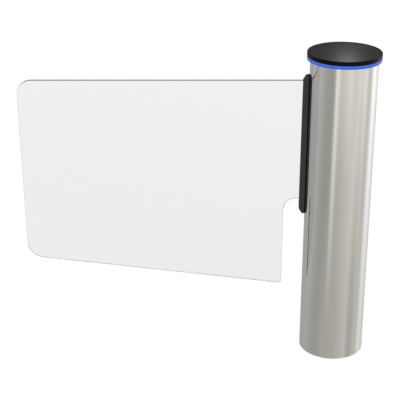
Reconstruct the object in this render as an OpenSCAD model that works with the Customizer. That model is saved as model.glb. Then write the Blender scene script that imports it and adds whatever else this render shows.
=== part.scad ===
// Half-height wing turnstile: a round steel post that turns about its own axis and
// carries one glass wing in a slim clamp down its side. The fixed core inside the post
// is bolted to the floor and holds the drive; the post tube, head, clamp and glass turn
// together.
// Origin: centre of the base plate's underside. +Z is up, and the wing points along -X.

/* [Post] */
// Outside diameter of the turning post tube
post_d = 204; // [190:1:260]
// Wall of the post tube
post_wall = 2; // [1.5:0.5:3]
// Height of the top of the cap above the floor
total_h = 993; // [940:1:1200]
// Gap between the floor and the lower end of the post tube
floor_gap = 5; // [5:1:12]

/* [Head] */
// How far the cap and the light ring stand out past the tube
head_overhang = 9.6; // [4:0.2:20]
// Height of the light ring
light_h = 10; // [6:0.5:30]
// Thickness of the cap
cap_t = 13; // [6:0.5:30]
// Size of the bevel round the cap's top edge
cap_bevel = 1; // [0.5:0.5:3]

/* [Wing] */
// Thickness of the glass
glass_t = 10; // [8:1:12]
// Distance from the post's axis to the upper end of the free edge of the glass
wing_reach = 979.5; // [600:0.5:1200]
// How much nearer the post the lower end of the free edge lies
free_lean = 5; // [0:1:20]
// How far the top edge of the glass lies below the top of the tube
wing_drop = 64.5; // [40:0.5:160]
// Height of the lower edge of the glass at its post side
wing_low_inner = 226; // [100:1:400]
// Height of the lower edge of the glass at its free side
wing_low_outer = 324.5; // [100:0.5:450]
// Height of the underside of the notch below the clamp
notch_top = 522.5; // [470:0.5:600]
// Gap between the post tube and the glass below the clamp
wing_gap = 66.5; // [60:0.5:120]
// Radius of the upper free corner
corner_top_r = 44; // [10:1:80]
// Radius of the lower free corner
corner_low_r = 55; // [10:1:80]
// Radius of the lower corner beside the post
corner_post_r = 10; // [5:1:40]
// Radius of the inner corner of the notch
notch_r = 38; // [10:1:40]

/* [Clamp] */
// How far the clamp stands out from the post tube
clamp_reach = 18.5; // [16:0.1:40]
// Depth of the slot that takes the edge of the glass
slot_depth = 10; // [8:0.5:12]
// Wall of the clamp on each side of the slot
clamp_wall = 1.7; // [1.5:0.1:6]
// How far the clamp reaches below the notch's upper edge
clamp_under = 49; // [20:0.5:60]
// How far the clamp reaches above the top edge of the glass
clamp_over = 16.5; // [16:0.5:30]
// Length of the chamfer on the clamp's outer ends, along the post
end_chamfer_z = 15; // [5:1:15]
// Depth of the same chamfer, out from the post
end_chamfer_x = 9.5; // [4:0.5:12]
// Thickness of the liner round the glass
liner_t = 0.8; // [0.5:0.1:3]
// Diameter of the clamp's bolts
clamp_bolt_d = 6; // [5:1:8]
// Number of bolts along the clamp
clamp_bolt_count = 4; // [2:1:6]

/* [Base] */
// Thickness of the base plate
base_t = 12; // [8:1:20]
// Distance from the rim of the base plate to the middle of the anchor holes
anchor_edge = 12; // [10:0.5:14]
// Diameter of the anchor holes
anchor_d = 14; // [9:1:15]
// Diameter of the cable entry
cable_d = 40; // [20:1:50]
// Gap between the cable entry and the bore of the column
cable_margin = 8; // [4:1:16]

/* [Core] */
// Outside diameter of the fixed column
column_d = 139.7; // [120:0.1:145]
// Wall of the fixed column
column_wall = 4; // [3:0.5:6]
// Height of the ribs at the foot of the column
gusset_h = 50; // [30:1:60]
// Thickness of the ribs
gusset_t = 8; // [5:1:12]
// Height of the lower guide above the floor
guide_z = 75; // [70:1:200]
// Height of the lower guide collar
guide_h = 20; // [12:1:40]
// Wall of the plastic guide bush
bush_wall = 4; // [3:0.5:6]
// Wall of the steel ring that runs on the bush
lower_ring_wall = 10; // [8:0.5:12]
// Gap between the drive unit and the bore of the column
drive_gap = 10; // [6:1:20]
// Thickness of the flange on top of the column
drive_flange_t = 12; // [8:1:16]
// Diameter of the spindle
spindle_d = 35; // [25:1:40]
// Outside diameter of the spindle's bearings
bearing_d = 62; // [52:1:72]
// Height of each bearing
bearing_h = 16; // [12:1:20]
// Thickness of the head plate that carries the tube
head_plate_t = 8; // [6:1:12]
// How far the head plate lies below the tube's upper end
head_drop = 14; // [10:1:30]

/* [Fits] */
// Gap between the ends of the clamp's slot and the glass
slot_gap = 0.3; // [0.1:0.1:1]
// Radial clearance of the running fits
run_gap = 0.05; // [0.02:0.01:0.1]
// Least gap between the turning pieces and the fixed core
free_gap = 6; // [5:0.5:8]

/* [Hidden] */
$fn = 96;

STEEL = [0.66, 0.66, 0.63];
DARK_STEEL = [0.36, 0.37, 0.38];
BLACK = [0.05, 0.05, 0.055];
BLUE = [0.15, 0.32, 0.95];
GLASS = [0.86, 0.90, 0.90, 0.35];
OVER = 1;                                   // how far a cutting shape runs past a face
FINE = 360;                                 // sides of a large curve that shapes a thin piece

// Post tube, wing and clamp heights
post_r = post_d / 2;
bore_r = post_r - post_wall;
head_r = post_r + head_overhang;
tube_top = total_h - cap_t - light_h;
light_top = tube_top + light_h;
wing_top = tube_top - wing_drop;
clamp_low = notch_top - clamp_under;
clamp_high = wing_top + clamp_over;

// Flange on the column, which clears the bar behind the clamp
bar_t = 9;
flange_r = bore_r - bar_t - free_gap;

// Head, from the head plate down to the flange on the column
head_plate_z = tube_top - head_drop - head_plate_t;
hub_flange_t = 10;
hub_boss_h = 20;
hub_flange_d = 120;
hub_boss_d = spindle_d + 25;
hub_low = head_plate_z - hub_flange_t - hub_boss_h;
housing_wall = 15;
housing_h = 50;
housing_low = hub_low - free_gap - housing_h;
flange_low = housing_low - drive_flange_t;
shoulder = 5;                               // width of the bearing housing's inner shoulder
end_rim = 4;                                // from the housing's end to its nearer bearing

// Column, and the drive unit inside it
column_r = column_d / 2;
column_bore_r = column_r - column_wall;
gearbox_r = column_bore_r - drive_gap;
gearbox_h = 150;
motor_r = gearbox_r - 10;
motor_h = 140;
output_depth = 20;                          // how far the spindle enters the gearbox
output_gap = 0.5;                           // round the spindle there

// Lower guide, from the column outwards
lower_ring_r = bore_r - lower_ring_wall;
bush_r = lower_ring_r - run_gap;
collar_r = bush_r - bush_wall;
guide_margin = 2;                           // how much shorter the running ring is, each end

// Base plate, which clears the bore of the tube
base_r = bore_r - free_gap;
anchor_r = base_r - anchor_edge;
anchor_count = 4;
cable_offset = column_bore_r - cable_margin - cable_d / 2;
gusset_count = 4;
gusset_r = base_r - 6;                      // outer end of a rib
gusset_tip = 8;                             // height of a rib at its outer end
gusset_head = 6;                            // width of a rib at its upper end

// Head ring and cap
carrier_floor = 4;
carrier_rim = 4;
spacer_d = 16;
spacer_count = 3;
spacer_circle_r = bore_r - 30;

// Clamp
clamp_x = post_r + clamp_reach;             // outer face of the clamp
slot_x = clamp_x - slot_depth;              // floor of the slot
slot_t = glass_t + 2 * liner_t;
clamp_t = slot_t + 2 * clamp_wall;
glass_x = slot_x + liner_t;                 // edge of the glass inside the clamp
liner_inset = 0.5;                          // how far the liner stops short of the clamp's face
bolt_clear = 0.3;                           // radial clearance round a bolt
bolt_core = 0.5;                            // half the difference from bolt to tapped hole
bolt_floor = 1.5;                           // left between a tapped hole and the slot
bolt_end = 40;                              // from the clamp's end to the first bolt
bar_w = 30;
bar_end = 10;                               // how far the bar stops short of the clamp's ends
bolt_pitch = (clamp_high - clamp_low - 2 * bolt_end) / (clamp_bolt_count - 1);

// Glass
wing_inner_x = post_r + wing_gap;           // edge of the glass below the clamp

// ---- helpers ----

function unit(v) = v / norm(v);

// Angle brought into -180 to 180 degrees
function turn(a) = a > 180 ? a - 360 : (a < -180 ? a + 360 : a);

// Points of an arc of radius r that rounds corner b between a and c
function fillet(a, b, c, r, steps = 16) =
    let (
        u = unit(a - b),
        v = unit(c - b),
        half = acos(u * v) / 2,
        start = b + u * r / tan(half),
        stop = b + v * r / tan(half),
        mid = b + unit(u + v) * r / sin(half),
        from = atan2(start.y - mid.y, start.x - mid.x),
        sweep = turn(atan2(stop.y - mid.y, stop.x - mid.x) - from)
    )
    [for (i = [0:steps]) mid + r * [cos(from + sweep * i / steps), sin(from + sweep * i / steps)]];

module ring(r_out, r_in, z_low, z_high) {
    rotate_extrude($fn = 96)
        translate([r_in, z_low])
            square([r_out - r_in, z_high - z_low]);
}

// A drawing in the plane of the wing, X to the left and Z up, given a thickness across it
module in_wing_plane(y_low, y_high) {
    translate([0, y_high, 0])
        rotate([90, 0, 0])
            linear_extrude(y_high - y_low)
                children();
}

// Straight holes for the clamp's bolts, from x_low to x_high
module clamp_bolts(r, x_low, x_high) {
    for (i = [0:clamp_bolt_count - 1])
        translate([x_low, 0, clamp_low + bolt_end + i * bolt_pitch])
            rotate([0, 90, 0])
                cylinder(r = r, h = x_high - x_low, $fn = 32);
}

// ---- fixed core ----

module base_plate() {
    color(DARK_STEEL)
        difference() {
            cylinder(r = base_r, h = base_t);
            for (i = [0:anchor_count - 1])
                rotate((i + 0.5) * 360 / anchor_count)
                    translate([anchor_r, 0, -OVER])
                        cylinder(d = anchor_d, h = base_t + 2 * OVER, $fn = 48);
            translate([cable_offset, 0, -OVER])
                cylinder(d = cable_d, h = base_t + 2 * OVER);
        }
}

module base_gussets() {
    color(DARK_STEEL)
        difference() {
            for (i = [0:gusset_count - 1])
                rotate(i * 360 / gusset_count)
                    translate([0, gusset_t / 2, base_t])
                        rotate([90, 0, 0])
                            linear_extrude(gusset_t)
                                polygon([
                                    [column_r - OVER, 0],
                                    [gusset_r, 0],
                                    [gusset_r, gusset_tip],
                                    [column_r + gusset_head, gusset_h],
                                    [column_r - OVER, gusset_h]
                                ]);
            cylinder(r = column_r, h = base_t + gusset_h + OVER);
        }
}

module core_column() {
    color(DARK_STEEL)
        ring(column_r, column_bore_r, base_t, flange_low);
}

module guide_collar() {
    color(DARK_STEEL)
        ring(collar_r, column_r, guide_z, guide_z + guide_h);
}

module guide_bush() {
    color([0.80, 0.78, 0.70])
        ring(bush_r, collar_r, guide_z, guide_z + guide_h);
}

module drive_flange() {
    color(DARK_STEEL)
        ring(flange_r, spindle_d / 2 + free_gap, flange_low, housing_low);
}

module gearbox() {
    color([0.55, 0.56, 0.58])
        difference() {
            translate([0, 0, flange_low - gearbox_h])
                cylinder(r = gearbox_r, h = gearbox_h);
            translate([0, 0, flange_low - output_depth - free_gap])
                cylinder(r = spindle_d / 2 + output_gap, h = output_depth + free_gap + OVER);
        }
}

module motor() {
    color([0.20, 0.21, 0.23])
        translate([0, 0, flange_low - gearbox_h - motor_h])
            cylinder(r = motor_r, h = motor_h);
}

module bearing_housing() {
    color([0.55, 0.56, 0.58])
        rotate_extrude()
            polygon([
                [bearing_d / 2, housing_low],
                [bearing_d / 2 + housing_wall, housing_low],
                [bearing_d / 2 + housing_wall, housing_low + housing_h],
                [bearing_d / 2, housing_low + housing_h],
                [bearing_d / 2, housing_low + housing_h - end_rim - bearing_h],
                [bearing_d / 2 - shoulder, housing_low + housing_h - end_rim - bearing_h],
                [bearing_d / 2 - shoulder, housing_low + end_rim + bearing_h],
                [bearing_d / 2, housing_low + end_rim + bearing_h]
            ]);
}

module spindle_bearings() {
    color([0.75, 0.76, 0.78]) {
        ring(bearing_d / 2, spindle_d / 2 + run_gap,
             housing_low + end_rim, housing_low + end_rim + bearing_h);
        ring(bearing_d / 2, spindle_d / 2 + run_gap,
             housing_low + housing_h - end_rim - bearing_h, housing_low + housing_h - end_rim);
    }
}

// ---- turning post and head ----

module spindle() {
    color([0.75, 0.76, 0.78])
        translate([0, 0, flange_low - output_depth])
            cylinder(d = spindle_d, h = head_plate_z - flange_low + output_depth);
}

module hub() {
    color([0.55, 0.56, 0.58])
        rotate_extrude()
            polygon([
                [spindle_d / 2, hub_low],
                [hub_boss_d / 2, hub_low],
                [hub_boss_d / 2, hub_low + hub_boss_h],
                [hub_flange_d / 2, hub_low + hub_boss_h],
                [hub_flange_d / 2, head_plate_z],
                [spindle_d / 2, head_plate_z]
            ]);
}

module head_plate() {
    color(DARK_STEEL)
        translate([0, 0, head_plate_z])
            cylinder(r = bore_r, h = head_plate_t);
}

module sleeve() {
    color(STEEL)
        difference() {
            ring(post_r, bore_r, floor_gap, tube_top);
            clamp_bolts(clamp_bolt_d / 2 + bolt_clear, -post_r - OVER, -bore_r + OVER);
        }
}

module lower_ring() {
    color(DARK_STEEL)
        ring(bore_r, lower_ring_r, guide_z + guide_margin, guide_z + guide_h - guide_margin);
}

module cap_spacers() {
    color([0.55, 0.56, 0.58])
        for (i = [0:spacer_count - 1])
            rotate(i * 360 / spacer_count)
                translate([spacer_circle_r, 0, head_plate_z + head_plate_t])
                    cylinder(d = spacer_d, h = head_drop);
}

module light_carrier() {
    color(BLACK)
        difference() {
            translate([0, 0, tube_top])
                cylinder(r = post_r, h = light_h);
            translate([0, 0, tube_top + carrier_floor])
                cylinder(r = post_r - carrier_rim, h = light_h);
        }
}

module light_ring() {
    color(BLUE)
        ring(head_r, post_r, tube_top, light_top);
}

module cap() {
    color(BLACK)
        rotate_extrude($fn = 128)
            polygon([
                [0, light_top],
                [head_r, light_top],
                [head_r, total_h - cap_bevel],
                [head_r - cap_bevel, total_h],
                [0, total_h]
            ]);
}

// ---- clamp and glass ----

module backing_bar() {
    color(DARK_STEEL)
        difference() {
            intersection() {
                translate([-post_r, -bar_w / 2, clamp_low + bar_end])
                    cube([post_wall + bar_t, bar_w, clamp_high - clamp_low - 2 * bar_end]);
                cylinder(r = bore_r, h = clamp_high, $fn = FINE);
            }
            clamp_bolts(clamp_bolt_d / 2 + bolt_clear, -post_r, -bore_r + bar_t + OVER);
        }
}

// A slim bar whose back is curved to sit on the tube, slotted for the glass
module clamp_channel() {
    color(BLACK)
        difference() {
            in_wing_plane(-clamp_t / 2, clamp_t / 2)
                polygon([
                    [-post_r + OVER, clamp_low],
                    [-post_r + OVER, clamp_high],
                    [-clamp_x + end_chamfer_x, clamp_high],
                    [-clamp_x, clamp_high - end_chamfer_z],
                    [-clamp_x, clamp_low + end_chamfer_z],
                    [-clamp_x + end_chamfer_x, clamp_low]
                ]);
            translate([0, 0, clamp_low - OVER])
                cylinder(r = post_r, h = clamp_high - clamp_low + 2 * OVER, $fn = FINE);
            translate([-clamp_x - OVER, -slot_t / 2, notch_top - slot_gap])
                cube([slot_depth + OVER, slot_t, wing_top - notch_top + 2 * slot_gap]);
            clamp_bolts(clamp_bolt_d / 2 - bolt_core, -slot_x + bolt_floor, -post_r + OVER);
        }
}

module glass_liner() {
    color([0.12, 0.12, 0.13])
        translate([0, 0, notch_top])
            linear_extrude(wing_top - notch_top)
                difference() {
                    translate([-clamp_x + liner_inset, -slot_t / 2])
                        square([slot_depth - liner_inset, slot_t]);
                    translate([-clamp_x, -glass_t / 2])
                        square([clamp_x - glass_x, glass_t]);
                }
}

module glass_wing() {
    free_top = [-wing_reach, wing_top];
    free_low = [-wing_reach + free_lean, wing_low_outer];
    post_low = [-wing_inner_x, wing_low_inner];
    notch = [-wing_inner_x, notch_top];
    seat_low = [-glass_x, notch_top];
    seat_top = [-glass_x, wing_top];
    color(GLASS)
        in_wing_plane(-glass_t / 2, glass_t / 2)
            polygon(concat(
                fillet(seat_top, free_top, free_low, corner_top_r),
                fillet(free_top, free_low, post_low, corner_low_r),
                fillet(free_low, post_low, notch, corner_post_r),
                fillet(post_low, notch, seat_low, notch_r),
                [seat_low, seat_top]
            ));
}

base_plate();
base_gussets();
core_column();
guide_collar();
guide_bush();
drive_flange();
gearbox();
motor();
bearing_housing();
spindle_bearings();
spindle();
hub();
head_plate();
sleeve();
lower_ring();
cap_spacers();
light_carrier();
light_ring();
cap();
backing_bar();
clamp_channel();
glass_liner();
glass_wing();
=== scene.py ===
"""Looks of the wing turnstile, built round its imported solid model.

The file is laid out as an add-on: sizes and colours are properties, every piece or group
of like pieces has an operator, and one panel lists them. All lengths are in metres.
"""

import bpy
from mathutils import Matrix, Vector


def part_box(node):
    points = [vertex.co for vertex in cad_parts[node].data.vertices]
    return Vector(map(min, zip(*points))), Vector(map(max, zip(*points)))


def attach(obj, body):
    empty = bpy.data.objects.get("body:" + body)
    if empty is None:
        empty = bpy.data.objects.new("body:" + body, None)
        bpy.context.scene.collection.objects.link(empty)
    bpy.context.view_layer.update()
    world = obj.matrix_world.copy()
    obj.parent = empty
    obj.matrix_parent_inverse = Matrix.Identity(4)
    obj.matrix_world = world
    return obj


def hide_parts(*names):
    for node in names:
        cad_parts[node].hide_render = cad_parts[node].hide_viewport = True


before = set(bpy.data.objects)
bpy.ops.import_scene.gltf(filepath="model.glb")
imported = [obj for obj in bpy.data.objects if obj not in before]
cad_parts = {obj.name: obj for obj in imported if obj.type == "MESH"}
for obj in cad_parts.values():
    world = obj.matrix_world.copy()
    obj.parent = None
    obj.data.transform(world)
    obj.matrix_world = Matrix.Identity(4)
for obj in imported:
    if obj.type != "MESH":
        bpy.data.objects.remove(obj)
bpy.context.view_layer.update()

import math
from functools import partial

import bmesh
import bpy
import numpy as np
from bpy.props import FloatProperty, FloatVectorProperty, IntProperty, PointerProperty

bl_info = {
    "name": "Wing turnstile",
    "version": (1, 0, 0),
    "blender": (4, 5, 0),
    "location": "3D View > Sidebar > Turnstile",
    "description": "Builds the post, head, clamp, glass and core of a wing turnstile",
    "category": "Object",
}

MM = 0.001
CORE, WING = "core", "wing"


# ---- places taken from the solid model ----

def ends(node, axis=2):
    """The low and the high end of a node along an axis, 0, 1 or 2."""
    low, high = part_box(node)
    return low[axis], high[axis]


def radius(node):
    """Radius of a node that is round about the post's axis."""
    return ends(node, 0)[1]


def reach(node):
    """Where a node starts and stops, going out from the axis along the wing."""
    low, high = ends(node, 0)
    return -high, -low


TUBE_R, (TUBE_LOW, TUBE_TOP) = radius("sleeve"), ends("sleeve")
BORE_R, (PLATE_LOW, PLATE_TOP) = radius("head_plate"), ends("head_plate")
HEAD_R, LIGHT_TOP, CAP_TOP = radius("light_ring"), ends("light_ring")[1], ends("cap")[1]
CLAMP_X, CLAMP_Y = reach("clamp_channel")[1], ends("clamp_channel", 1)[1]
CLAMP_LOW, CLAMP_HIGH = ends("clamp_channel")
(SLOT_X, LIP_X), SLOT_Y = reach("glass_liner"), ends("glass_liner", 1)[1]
NOTCH_TOP = ends("glass_liner")[0]
(GLASS_X, WING_END), GLASS_Y = reach("glass_wing"), ends("glass_wing", 1)[1]
WING_LOW, WING_TOP = ends("glass_wing")
POST_GAP = 66.5 * MM  # from the tube to the glass below the clamp
POST_SIDE = -TUBE_R - POST_GAP
BAR_X, BAR_Y = reach("backing_bar")[0], ends("backing_bar", 1)[1]
BAR_LOW, BAR_HIGH = ends("backing_bar")
HUB_R, HUB_LOW = radius("hub"), ends("hub")[0]
HUB_FLANGE_LOW = PLATE_LOW - 10 * MM  # under the flange, which lies on the head plate
HOUSING_R, (HOUSING_LOW, HOUSING_TOP) = radius("bearing_housing"), ends("bearing_housing")
BEARING_R, (BEARING_LOW, BEARING_TOP) = radius("spindle_bearings"), ends("spindle_bearings")
BEARING_H = 16 * MM  # of each of the two bearings
SHAFT_R, SHAFT_LOW = radius("spindle"), ends("spindle")[0]
FLANGE_LOW, FLANGE_TOP = ends("drive_flange")
GEARBOX_R, GEARBOX_LOW = radius("gearbox"), ends("gearbox")[0]
MOTOR_R, MOTOR_LOW = radius("motor"), ends("motor")[0]
COLUMN_R, BASE_TOP = radius("core_column"), ends("base_plate")[1]
GUSSET_R, GUSSET_TOP = radius("base_gussets"), ends("base_gussets")[1]
GUIDE_TOP = ends("lower_ring")[1]


# ---- sizes and colours that a user would change ----

Length = partial(FloatProperty, unit="LENGTH")
Colour = partial(FloatVectorProperty, subtype="COLOR")


class StageSettings(bpy.types.PropertyGroup):
    """Camera, floor and light of the studio."""

    camera_place: FloatVectorProperty(
        name="Camera place", description="Where the camera stands",
        subtype="TRANSLATION", unit="LENGTH", default=(-0.4288, -3.3231, 1.9384))
    camera_pitch: FloatProperty(
        name="Camera pitch", description="How far the camera is raised from looking down",
        subtype="ANGLE", default=math.radians(66.82))
    lens: FloatProperty(
        name="Lens", description="Focal length of the lens", unit="CAMERA", default=104.3)
    floor_width: Length(
        name="Floor width", description="Side of the square floor", default=40.0)
    soft_light: FloatProperty(
        name="Soft light", description="Level of the even light from all round", default=0.62)
    key_light: FloatProperty(
        name="Key light", description="Strength of the lamp at the upper left", default=1.0)
    fill_light: FloatProperty(
        name="Fill light", description="Strength of the lamp at the upper right", default=0.55)
    cap_light: FloatProperty(
        name="Cap light", description="Power of the small lamp whose glare lies on the cap",
        unit="POWER", default=0.32)


class PostSettings(bpy.types.PropertyGroup):
    """Finish of the turning post tube."""

    colour: Colour(
        name="Steel", description="Colour of the ground steel", default=(0.60, 0.59, 0.565))
    roughness: FloatProperty(
        name="Roughness", description="Roughness of the ground steel",
        subtype="FACTOR", min=0.0, max=1.0, default=0.07)
    soften: Length(
        name="Softened rim", description="Radius on the rims of the tube", default=0.5 * MM)
    sides: IntProperty(
        name="Sides", description="Facets round the large turned pieces", default=192)


class HeadSettings(bpy.types.PropertyGroup):
    """Finish of the cap and of the light ring."""

    cap_colour: Colour(
        name="Cap", description="Colour of the cap's turned top",
        default=(0.024, 0.024, 0.024))
    # The rim's colour is painted shade: far darker than the top, for the cap's side and
    # underside that less light reaches.
    rim_shade_colour: Colour(
        name="Rim", description="Colour of the band round the cap",
        default=(0.0026, 0.0026, 0.0028))
    light_colour: Colour(
        name="Light", description="Colour of the lit ring", default=(0.038, 0.098, 0.60))
    light_strength: FloatProperty(
        name="Light strength", description="Strength of the lit ring", default=1.0)
    bevel: Length(
        name="Cap bevel", description="Size of the bevel round the cap", default=1.0 * MM)


class WingSettings(bpy.types.PropertyGroup):
    """Sizes and finish of the glass wing."""

    colour: Colour(
        name="Glass", description="Tint of the clear glass", default=(0.845, 0.845, 0.845))
    edge_colour: Colour(
        name="Polished edge", description="Tint of the glass seen through its polished edges",
        default=(0.92, 0.95, 0.935))
    # Painted shade: this dark tint of the ground edges makes the top edge a dark line and
    # darkens the tube's reflection of the edge beside the post.
    ground_shade_colour: Colour(
        name="Ground edge", description="Tint of the glass at its ground edges",
        default=(0.17, 0.175, 0.17))
    arris: Length(
        name="Arris", description="Width of the bevel along the glass edges",
        default=1.0 * MM)
    lean: Length(
        name="Lean", description="How much nearer the post the free edge's lower end lies",
        default=5.0 * MM)
    free_low: Length(
        name="Free corner height", description="Height of the lower corner at the free edge",
        default=324.5 * MM)


class ClampSettings(bpy.types.PropertyGroup):
    """Finish of the clamp on the side of the post."""

    colour: Colour(
        name="Clamp", description="Colour of the coated clamp",
        default=(0.024, 0.024, 0.0245))
    soften: Length(
        name="Softened edges", description="Radius on the outer edges of the clamp",
        default=0.8 * MM)
    chamfer_x: Length(
        name="Chamfer depth", description="Depth of the chamfer at each end, out from the post",
        default=9.5 * MM)
    chamfer_z: Length(
        name="Chamfer length", description="Length of the chamfer along the post",
        default=15.0 * MM)
    # The pad is rubber, and near-black so that it also stands for the contact shadow between
    # clamp and tube: painted shade.
    pad: Length(
        name="Pad", description="Thickness of the rubber pad between clamp and tube",
        default=2.2 * MM)


class CoreSettings(bpy.types.PropertyGroup):
    """Sizes of the fixings, welds and drive inside the post."""

    anchor_circle: Length(
        name="Anchor circle", description="Radius of the circle that the floor anchors stand on",
        default=82.0 * MM)
    clamp_screws: IntProperty(
        name="Clamp screws", description="Screws along the clamp", default=4)
    first_screw: Length(
        name="First screw", description="From each end of the clamp to its nearest screw",
        default=40.0 * MM)
    weld: Length(name="Weld", description="Leg of the welds", default=4.0 * MM)
    ripple: Length(
        name="Ripple", description="Pitch of the ripples along a weld", default=2.0 * MM)
    fins: IntProperty(name="Fins", description="Cooling fins round the motor", default=28)


# ---- surfaces ----

def rounded(corners, radii, steps=6, guard=0.3 * MM):
    """Closed outline of a polygon with rounded corners: each corner becomes an arc that
    touches both its edges (the two radius vectors blended by sines of the angle between
    them), with one more point on the straight before and after it."""
    corners = np.asarray(corners, float)
    radii = np.broadcast_to(np.asarray(radii, float), len(corners))[:, None]

    def unit(v):
        return v / np.linalg.norm(v, axis=1, keepdims=True)

    back, on = unit(np.roll(corners, 1, 0) - corners), unit(np.roll(corners, -1, 0) - corners)
    half = np.arccos(np.clip((back * on).sum(1, keepdims=True), -1, 1)) / 2
    leg = radii / np.tan(half)
    middle = corners + unit(back + on) * radii / np.sin(half)
    first, last = corners + back * leg - middle, corners + on * leg - middle
    sweep = (np.pi - 2 * half)[:, None]
    t = np.linspace(0, 1, steps + 1)[None, :, None]
    arcs = middle[:, None] + (
        np.sin((1 - t) * sweep) * first[:, None] + np.sin(t * sweep) * last[:, None]
    ) / np.sin(sweep)
    lead = (corners + back * (leg + guard))[:, None]
    trail = (corners + on * (leg + guard))[:, None]
    return np.concatenate([lead, arcs, trail], 1).reshape(-1, 2)


def arc(centre, radius, start, stop, count):
    """Points of a circle about centre, evenly from one angle to another, in degrees."""
    a = np.radians(np.linspace(start, stop, count))
    return np.stack([centre[0] + radius * np.cos(a), centre[1] + radius * np.sin(a)], -1)


def weave(grid, round_u=True, round_v=True):
    """Points and quads of an (m, n, 3) grid: each point joins its neighbours, and a
    direction that goes round joins its last row to its first."""
    m, n = grid.shape[:2]
    index = np.arange(m * n).reshape(m, n)
    if round_u:
        index = np.vstack([index, index[:1]])
    if round_v:
        index = np.hstack([index, index[:, :1]])
    quads = np.stack([index[:-1, :-1], index[1:, :-1], index[1:, 1:], index[:-1, 1:]], -1)
    return grid.reshape(-1, 3), quads.reshape(-1, 4).tolist()


def turned(profile, sides, closed=True, flats=np.inf, fins=0, depth=0.0):
    """A profile of (radius, height) carried round an upright axis: the point at angle a
    is (r cos a, r sin a, height). Where flats are given, r is no more than a hexagon's own
    radius, flats / cos(a taken to the nearest sixth of a turn). Where a depth is given, r is
    less by the depth times a wave of that many fins, clipped flat at 0 and at 1."""
    profile = np.asarray(profile, float)
    a = np.linspace(0, 2 * np.pi, sides, endpoint=False)[:, None]
    near = (a + np.pi / 6) % (np.pi / 3) - np.pi / 6
    r = np.minimum(profile[:, 0], np.asarray(flats) / np.cos(near))
    r = r - np.asarray(depth) * np.clip(0.5 - 1.6 * np.cos(fins * a), 0, 1)
    z = np.broadcast_to(profile[:, 1], r.shape)
    return weave(np.stack([r * np.cos(a), r * np.sin(a), z], -1), True, closed)


def around(surface, radius, count, start=0.0):
    """Copies of a surface set evenly on a circle about the post's axis: each is moved out by
    the radius along X, then turned by its own angle, in degrees."""
    points, faces = surface
    a = np.radians(start + 360.0 / count * np.arange(count))[:, None]
    x, y, z = points[:, 0] + radius, points[:, 1], points[:, 2]
    copies = np.stack([x * np.cos(a) - y * np.sin(a), x * np.sin(a) + y * np.cos(a),
                       np.broadcast_to(z, (count, len(z)))], -1)
    return joined(*[(copy, faces) for copy in copies])


POINTS_A_RIPPLE = 5


def bead(path, across, up, leg, ripple, closed=False):
    """A weld laid in a corner along a path. Its section is the corner and an arc between the
    two plates, at (cos t, sin t)(1 - 0.18 sin 2t) of the leg, and the leg swells and shrinks
    by a twentieth, once for each ripple of the path's length."""
    step = np.linalg.norm(np.diff(path, axis=0), axis=1)
    run = np.concatenate([[0.0], np.cumsum(step)])
    length = run[-1] + (step[0] if closed else 0)
    ripples = max(round(length / ripple), 1)
    swell = 1 + 0.05 * np.sin(2 * np.pi * ripples * run / length)
    if not closed:
        swell *= np.clip(0.55 + np.minimum(run, run[-1] - run) / (1.5 * leg), 0, 1)
    t = np.linspace(0, np.pi / 2, 7)
    bulge = 1 - 0.18 * np.sin(2 * t)
    u = np.concatenate([[-0.1], [1.0], (np.cos(t) * bulge)[1:-1], [0.0]])
    v = np.concatenate([[-0.1], [0.0], (np.sin(t) * bulge)[1:-1], [1.0]])
    size = (leg * swell)[:, None, None]
    grid = path[:, None] + size * (u[:, None] * across[:, None] + v[:, None] * up[:, None])
    points, faces = weave(grid, closed, True)
    if not closed:
        m, n = grid.shape[:2]
        faces += [list(range(n)), list(range((m - 1) * n, m * n))[::-1]]
    return points, faces


def ring_bead(radius, z, outward, upward, leg, ripple, start=0.0, stop=360.0):
    """A bead round the post's axis, or part of the way round it, in degrees."""
    closed = stop - start >= 360.0
    count = int(math.radians(stop - start) * radius / ripple * POINTS_A_RIPPLE)
    a = np.radians(np.linspace(start, stop, count, endpoint=not closed))
    out = np.stack([np.cos(a), np.sin(a), 0 * a], -1)
    up = np.broadcast_to([0.0, 0.0, 1.0], out.shape)
    return bead(radius * out + z * up, outward * out, upward * up, leg, ripple, closed)


def line_bead(start, stop, across, up, leg, ripple):
    """A bead along a straight corner."""
    start, stop = np.asarray(start, float), np.asarray(stop, float)
    count = int(np.linalg.norm(stop - start) / ripple * POINTS_A_RIPPLE)
    path = start + (stop - start) * np.linspace(0, 1, count)[:, None]
    return bead(path, np.broadcast_to(across, path.shape), np.broadcast_to(up, path.shape),
                leg, ripple)


# Socket head screws: radius and height of the head, and radius of the shank.
M5, M5_LOW = (4.2 * MM, 5 * MM, 2.5 * MM), (4.2 * MM, 2.8 * MM, 2.5 * MM)
M6, M8 = (5 * MM, 6 * MM, 3 * MM), (6.5 * MM, 8 * MM, 4 * MM)


def socket_screw(size, seat, way, shank, washer=0.0):
    """A socket head screw along Z whose head stands on the seat, up (way 1) or down (-1),
    over a washer if one is given, with a hexagonal socket in its end."""
    head_r, head_h, shank_r = size
    e, key = 0.08 * head_r, 0.5 * head_r
    rows = [(0, head_h * 0.5, key), (2 * key, head_h * 0.5, key), (2 * key, head_h - e, key),
            (1.25 * key, head_h, np.inf), (head_r - e, head_h, np.inf),
            (head_r, head_h - e, np.inf), (head_r, 0, np.inf)]
    if washer:
        rows += [(1.25 * head_r, 0, np.inf), (1.25 * head_r, -washer, np.inf)]
    rows += [(shank_r, -washer, np.inf), (shank_r, -washer - shank + e, np.inf),
             (shank_r - e, -washer - shank, np.inf), (0, -washer - shank, np.inf)]
    r, height, flats = np.array(rows).T
    return turned(np.stack([r, seat + way * (height + washer)], -1), 48, False, flats)


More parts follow.
